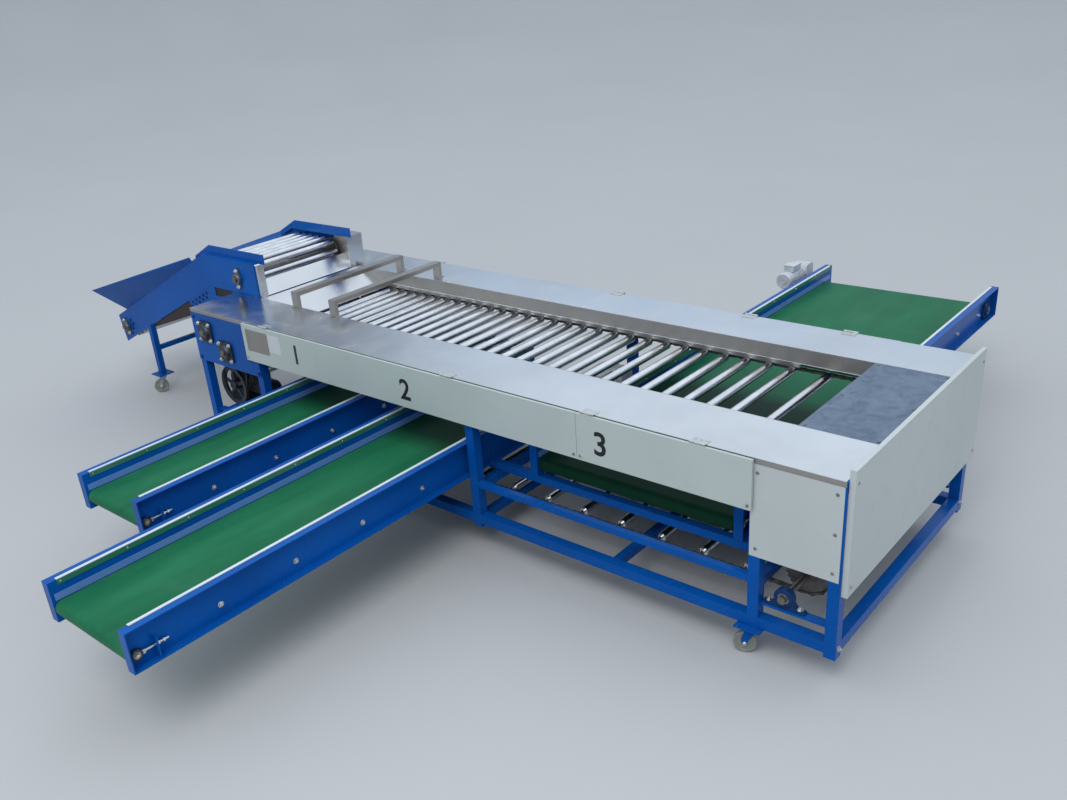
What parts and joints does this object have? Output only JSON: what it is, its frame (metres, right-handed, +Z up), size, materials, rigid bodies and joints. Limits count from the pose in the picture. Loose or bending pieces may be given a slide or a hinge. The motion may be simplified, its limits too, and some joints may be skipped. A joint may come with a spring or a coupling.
{
  "type": "fruit grading machine",
  "caption": "Roller fruit grading machine: feed elevator with hopper wings, sizing bed in a blue tube frame on casters, and green belt conveyors out to both sides",
  "frame": {"origin": "On the floor under the wheels, below the middle of the bounding box", "axes": "+X runs along the machine from the feed elevator to the exit end, +Y across it towards the far side, where the wide conveyor leaves, and +Z up"},
  "size_m": [5.8082, 5.362, 1.194],
  "materials": {
    "blue_paint": "gloss blue paint",
    "stainless": "brushed stainless sheet",
    "galvanised": "mottled galvanised sheet",
    "panel_paint": "satin pale grey paint",
    "guard_paint": "satin pale grey-green paint",
    "chain_steel": "oily dark steel",
    "roller_chrome": "chromed tube",
    "zinc": "zinc plated",
    "bearing_iron": "painted cast iron",
    "motor_casting": "cast aluminium",
    "belt_black": "black rubber",
    "brown_paint": "dull dark brown paint",
    "belt_green": "smooth green belt",
    "skirt": "green skirting strip",
    "fork_zinc": "worn blue paint over zinc",
    "wheel_tread": "grey rubber"
  },
  "bodies": {
    "frame": {"frame_posts": "blue_paint", "frame_long_rails": "blue_paint", "frame_cross_rails": "blue_paint", "bearing_plates": "blue_paint", "top_sheets": "stainless", "cover_plate": "galvanised", "end_panel": "panel_paint", "corner_panels": "panel_paint", "side_guards": "stainless", "crossbars": "stainless", "feed_plates": "stainless", "roller_chains": "chain_steel", "bed_rollers": "roller_chrome", "fasteners": "zinc", "hinges": "zinc", "bearings": "bearing_iron", "gearmotors": "motor_casting", "drive_belts": "belt_black", "elevator_plates": "blue_paint", "elevator_guards": "blue_paint", "elevator_tray": "brown_paint", "elevator_rollers": "roller_chrome", "elevator_legs": "blue_paint", "conveyor1_frame": "blue_paint", "conveyor2_frame": "blue_paint", "conveyor3_frame": "blue_paint", "conveyor_beds": "stainless", "conveyor_belts": "belt_green", "conveyor_skirts": "skirt", "caster_plates": "blue_paint"},
    "guard_near_feed": {"guard_near_feed": "guard_paint"},
    "guard_near_exit": {"guard_near_exit": "guard_paint"},
    "guard_far_feed": {"guard_far_feed": "guard_paint"},
    "guard_far_exit": {"guard_far_exit": "guard_paint"},
    "exit_upper_shaft": {"exit_upper_shaft": "chain_steel"},
    "exit_lower_shaft": {"exit_lower_shaft": "chain_steel"},
    "feed_upper_shaft": {"feed_upper_shaft": "chain_steel"},
    "feed_lower_shaft": {"feed_lower_shaft": "chain_steel"},
    "lay_shaft": {"lay_shaft": "chain_steel"},
    "elevator_head_shaft": {"elevator_head_shaft": "chain_steel"},
    "elevator_tail_shaft": {"elevator_tail_shaft": "chain_steel"},
    "drive_pulley": {"drive_pulley": "bearing_iron"},
    "conveyor1_drive_roller": {"conveyor1_drive_roller": "chain_steel"},
    "conveyor1_tail_roller": {"conveyor1_tail_roller": "chain_steel"},
    "conveyor2_drive_roller": {"conveyor2_drive_roller": "chain_steel"},
    "conveyor2_tail_roller": {"conveyor2_tail_roller": "chain_steel"},
    "conveyor3_drive_roller": {"conveyor3_drive_roller": "chain_steel"},
    "conveyor3_tail_roller": {"conveyor3_tail_roller": "chain_steel"},
    "fork_exit_near": {"fork_exit_near": "fork_zinc"},
    "fork_exit_far": {"fork_exit_far": "fork_zinc"},
    "fork_feed_near": {"fork_feed_near": "fork_zinc"},
    "fork_feed_far": {"fork_feed_far": "fork_zinc"},
    "fork_elevator_near": {"fork_elevator_near": "fork_zinc"},
    "fork_elevator_far": {"fork_elevator_far": "fork_zinc"},
    "wheel_exit_near": {"wheel_exit_near": "wheel_tread"},
    "wheel_exit_far": {"wheel_exit_far": "wheel_tread"},
    "wheel_feed_near": {"wheel_feed_near": "wheel_tread"},
    "wheel_feed_far": {"wheel_feed_far": "wheel_tread"},
    "wheel_elevator_near": {"wheel_elevator_near": "wheel_tread"},
    "wheel_elevator_far": {"wheel_elevator_far": "wheel_tread"}
  },
  "joints": [
    {"name": "guard_near_feed_hinge", "type": "hinge", "parent": "frame", "child": "guard_near_feed", "pos_m": [1.6606, -0.843, 0.933], "axis": [-1, 0, 0], "range_deg": [0, 110]},
    {"name": "guard_near_exit_hinge", "type": "hinge", "parent": "frame", "child": "guard_near_exit", "pos_m": [1.6606, -0.843, 0.933], "axis": [-1, 0, 0], "range_deg": [0, 110]},
    {"name": "guard_far_feed_hinge", "type": "hinge", "parent": "frame", "child": "guard_far_feed", "pos_m": [1.6606, 0.607, 0.933], "axis": [1, 0, 0], "range_deg": [0, 110]},
    {"name": "guard_far_exit_hinge", "type": "hinge", "parent": "frame", "child": "guard_far_exit", "pos_m": [1.6606, 0.607, 0.933], "axis": [1, 0, 0], "range_deg": [0, 110]},
    {"name": "feed_upper_shaft_spin", "type": "hinge", "parent": "frame", "child": "feed_upper_shaft", "pos_m": [-0.9724, -0.118, 0.704], "axis": [0, 1, 0], "continuous": true},
    {"name": "exit_upper_shaft_spin", "type": "hinge", "parent": "frame", "child": "exit_upper_shaft", "pos_m": [2.6376, -0.118, 0.704], "axis": [0, 1, 0], "continuous": true},
    {"name": "exit_lower_shaft_spin", "type": "hinge", "parent": "frame", "child": "exit_lower_shaft", "pos_m": [2.6376, -0.118, 0.317], "axis": [0, 1, 0], "continuous": true},
    {"name": "feed_lower_shaft_spin", "type": "hinge", "parent": "frame", "child": "feed_lower_shaft", "pos_m": [-0.9724, -0.118, 0.317], "axis": [0, 1, 0], "continuous": true},
    {"name": "lay_shaft_spin", "type": "hinge", "parent": "frame", "child": "lay_shaft", "pos_m": [-1.1524, -0.118, 0.802], "axis": [0, 1, 0], "continuous": true},
    {"name": "elevator_head_shaft_spin", "type": "hinge", "parent": "frame", "child": "elevator_head_shaft", "pos_m": [-1.2374, -0.118, 1.025], "axis": [0, 1, 0], "continuous": true},
    {"name": "elevator_tail_shaft_spin", "type": "hinge", "parent": "frame", "child": "elevator_tail_shaft", "pos_m": [-2.79644, -0.118, 0.44707], "axis": [0, 1, 0], "continuous": true},
    {"name": "drive_pulley_spin", "type": "hinge", "parent": "frame", "child": "drive_pulley", "pos_m": [-1.1124, -0.118, 0.425], "axis": [0, 1, 0], "continuous": true},
    {"name": "conveyor1_drive_spin", "type": "hinge", "parent": "frame", "child": "conveyor1_drive_roller", "pos_m": [-0.2009, 0.293, 0.462], "axis": [1, 0, 0], "continuous": true},
    {"name": "conveyor1_tail_spin", "type": "hinge", "parent": "frame", "child": "conveyor1_tail_roller", "pos_m": [-0.2009, -2.061, 0.462], "axis": [1, 0, 0], "continuous": true},
    {"name": "conveyor2_drive_spin", "type": "hinge", "parent": "frame", "child": "conveyor2_drive_roller", "pos_m": [0.6471, 0.293, 0.462], "axis": [1, 0, 0], "continuous": true},
    {"name": "conveyor2_tail_spin", "type": "hinge", "parent": "frame", "child": "conveyor2_tail_roller", "pos_m": [0.6471, -2.644, 0.462], "axis": [1, 0, 0], "continuous": true},
    {"name": "conveyor3_drive_spin", "type": "hinge", "parent": "frame", "child": "conveyor3_drive_roller", "pos_m": [1.7811, 2.569, 0.462], "axis": [1, 0, 0], "continuous": true},
    {"name": "conveyor3_tail_spin", "type": "hinge", "parent": "frame", "child": "conveyor3_tail_roller", "pos_m": [1.7811, -0.604, 0.462], "axis": [1, 0, 0], "continuous": true},
    {"name": "swivel_exit_near", "type": "hinge", "parent": "frame", "child": "fork_exit_near", "pos_m": [2.5066, -0.806, 0.126], "axis": [0, 0, 1], "continuous": true},
    {"name": "roll_exit_near", "type": "hinge", "parent": "fork_exit_near", "child": "wheel_exit_near", "pos_m": [2.48029, -0.81558, 0.05], "axis": [0.342, -0.9397, 0], "continuous": true},
    {"name": "swivel_exit_far", "type": "hinge", "parent": "frame", "child": "fork_exit_far", "pos_m": [2.5066, 0.57, 0.126], "axis": [0, 0, 1], "continuous": true},
    {"name": "roll_exit_far", "type": "hinge", "parent": "fork_exit_far", "child": "wheel_exit_far", "pos_m": [2.48029, 0.57958, 0.05], "axis": [-0.342, -0.9397, 0], "continuous": true},
    {"name": "swivel_feed_near", "type": "hinge", "parent": "frame", "child": "fork_feed_near", "pos_m": [-1.2624, -0.806, 0.126], "axis": [0, 0, 1], "continuous": true},
    {"name": "roll_feed_near", "type": "hinge", "parent": "fork_feed_near", "child": "wheel_feed_near", "pos_m": [-1.2904, -0.806, 0.05], "axis": [0, -1, 0], "continuous": true},
    {"name": "swivel_feed_far", "type": "hinge", "parent": "frame", "child": "fork_feed_far", "pos_m": [-1.2624, 0.57, 0.126], "axis": [0, 0, 1], "continuous": true},
    {"name": "roll_feed_far", "type": "hinge", "parent": "fork_feed_far", "child": "wheel_feed_far", "pos_m": [-1.2904, 0.57, 0.05], "axis": [0, -1, 0], "continuous": true},
    {"name": "swivel_elevator_near", "type": "hinge", "parent": "frame", "child": "fork_elevator_near", "pos_m": [-2.4484, -0.491, 0.126], "axis": [0, 0, 1], "continuous": true},
    {"name": "roll_elevator_near", "type": "hinge", "parent": "fork_elevator_near", "child": "wheel_elevator_near", "pos_m": [-2.46446, -0.51394, 0.05], "axis": [0.8192, -0.5736, 0], "continuous": true},
    {"name": "swivel_elevator_far", "type": "hinge", "parent": "frame", "child": "fork_elevator_far", "pos_m": [-2.4484, 0.287, 0.126], "axis": [0, 0, 1], "continuous": true},
    {"name": "roll_elevator_far", "type": "hinge", "parent": "fork_elevator_far", "child": "wheel_elevator_far", "pos_m": [-2.47471, 0.29658, 0.05], "axis": [-0.342, -0.9397, 0], "continuous": true}
  ],
  "couplings": [
    {"joint": "exit_upper_shaft_spin", "follows": "feed_upper_shaft_spin", "ratio": 1},
    {"joint": "exit_lower_shaft_spin", "follows": "feed_upper_shaft_spin", "ratio": 1},
    {"joint": "feed_lower_shaft_spin", "follows": "feed_upper_shaft_spin", "ratio": 1},
    {"joint": "lay_shaft_spin", "follows": "feed_upper_shaft_spin", "ratio": 1},
    {"joint": "elevator_head_shaft_spin", "follows": "feed_upper_shaft_spin", "ratio": 0.86667},
    {"joint": "elevator_tail_shaft_spin", "follows": "feed_upper_shaft_spin", "ratio": 0.86667},
    {"joint": "drive_pulley_spin", "follows": "feed_upper_shaft_spin", "ratio": 0.45286},
    {"joint": "conveyor1_tail_spin", "follows": "conveyor1_drive_spin", "ratio": 1},
    {"joint": "conveyor2_tail_spin", "follows": "conveyor2_drive_spin", "ratio": 1},
    {"joint": "conveyor3_tail_spin", "follows": "conveyor3_drive_spin", "ratio": 1}
  ]
}
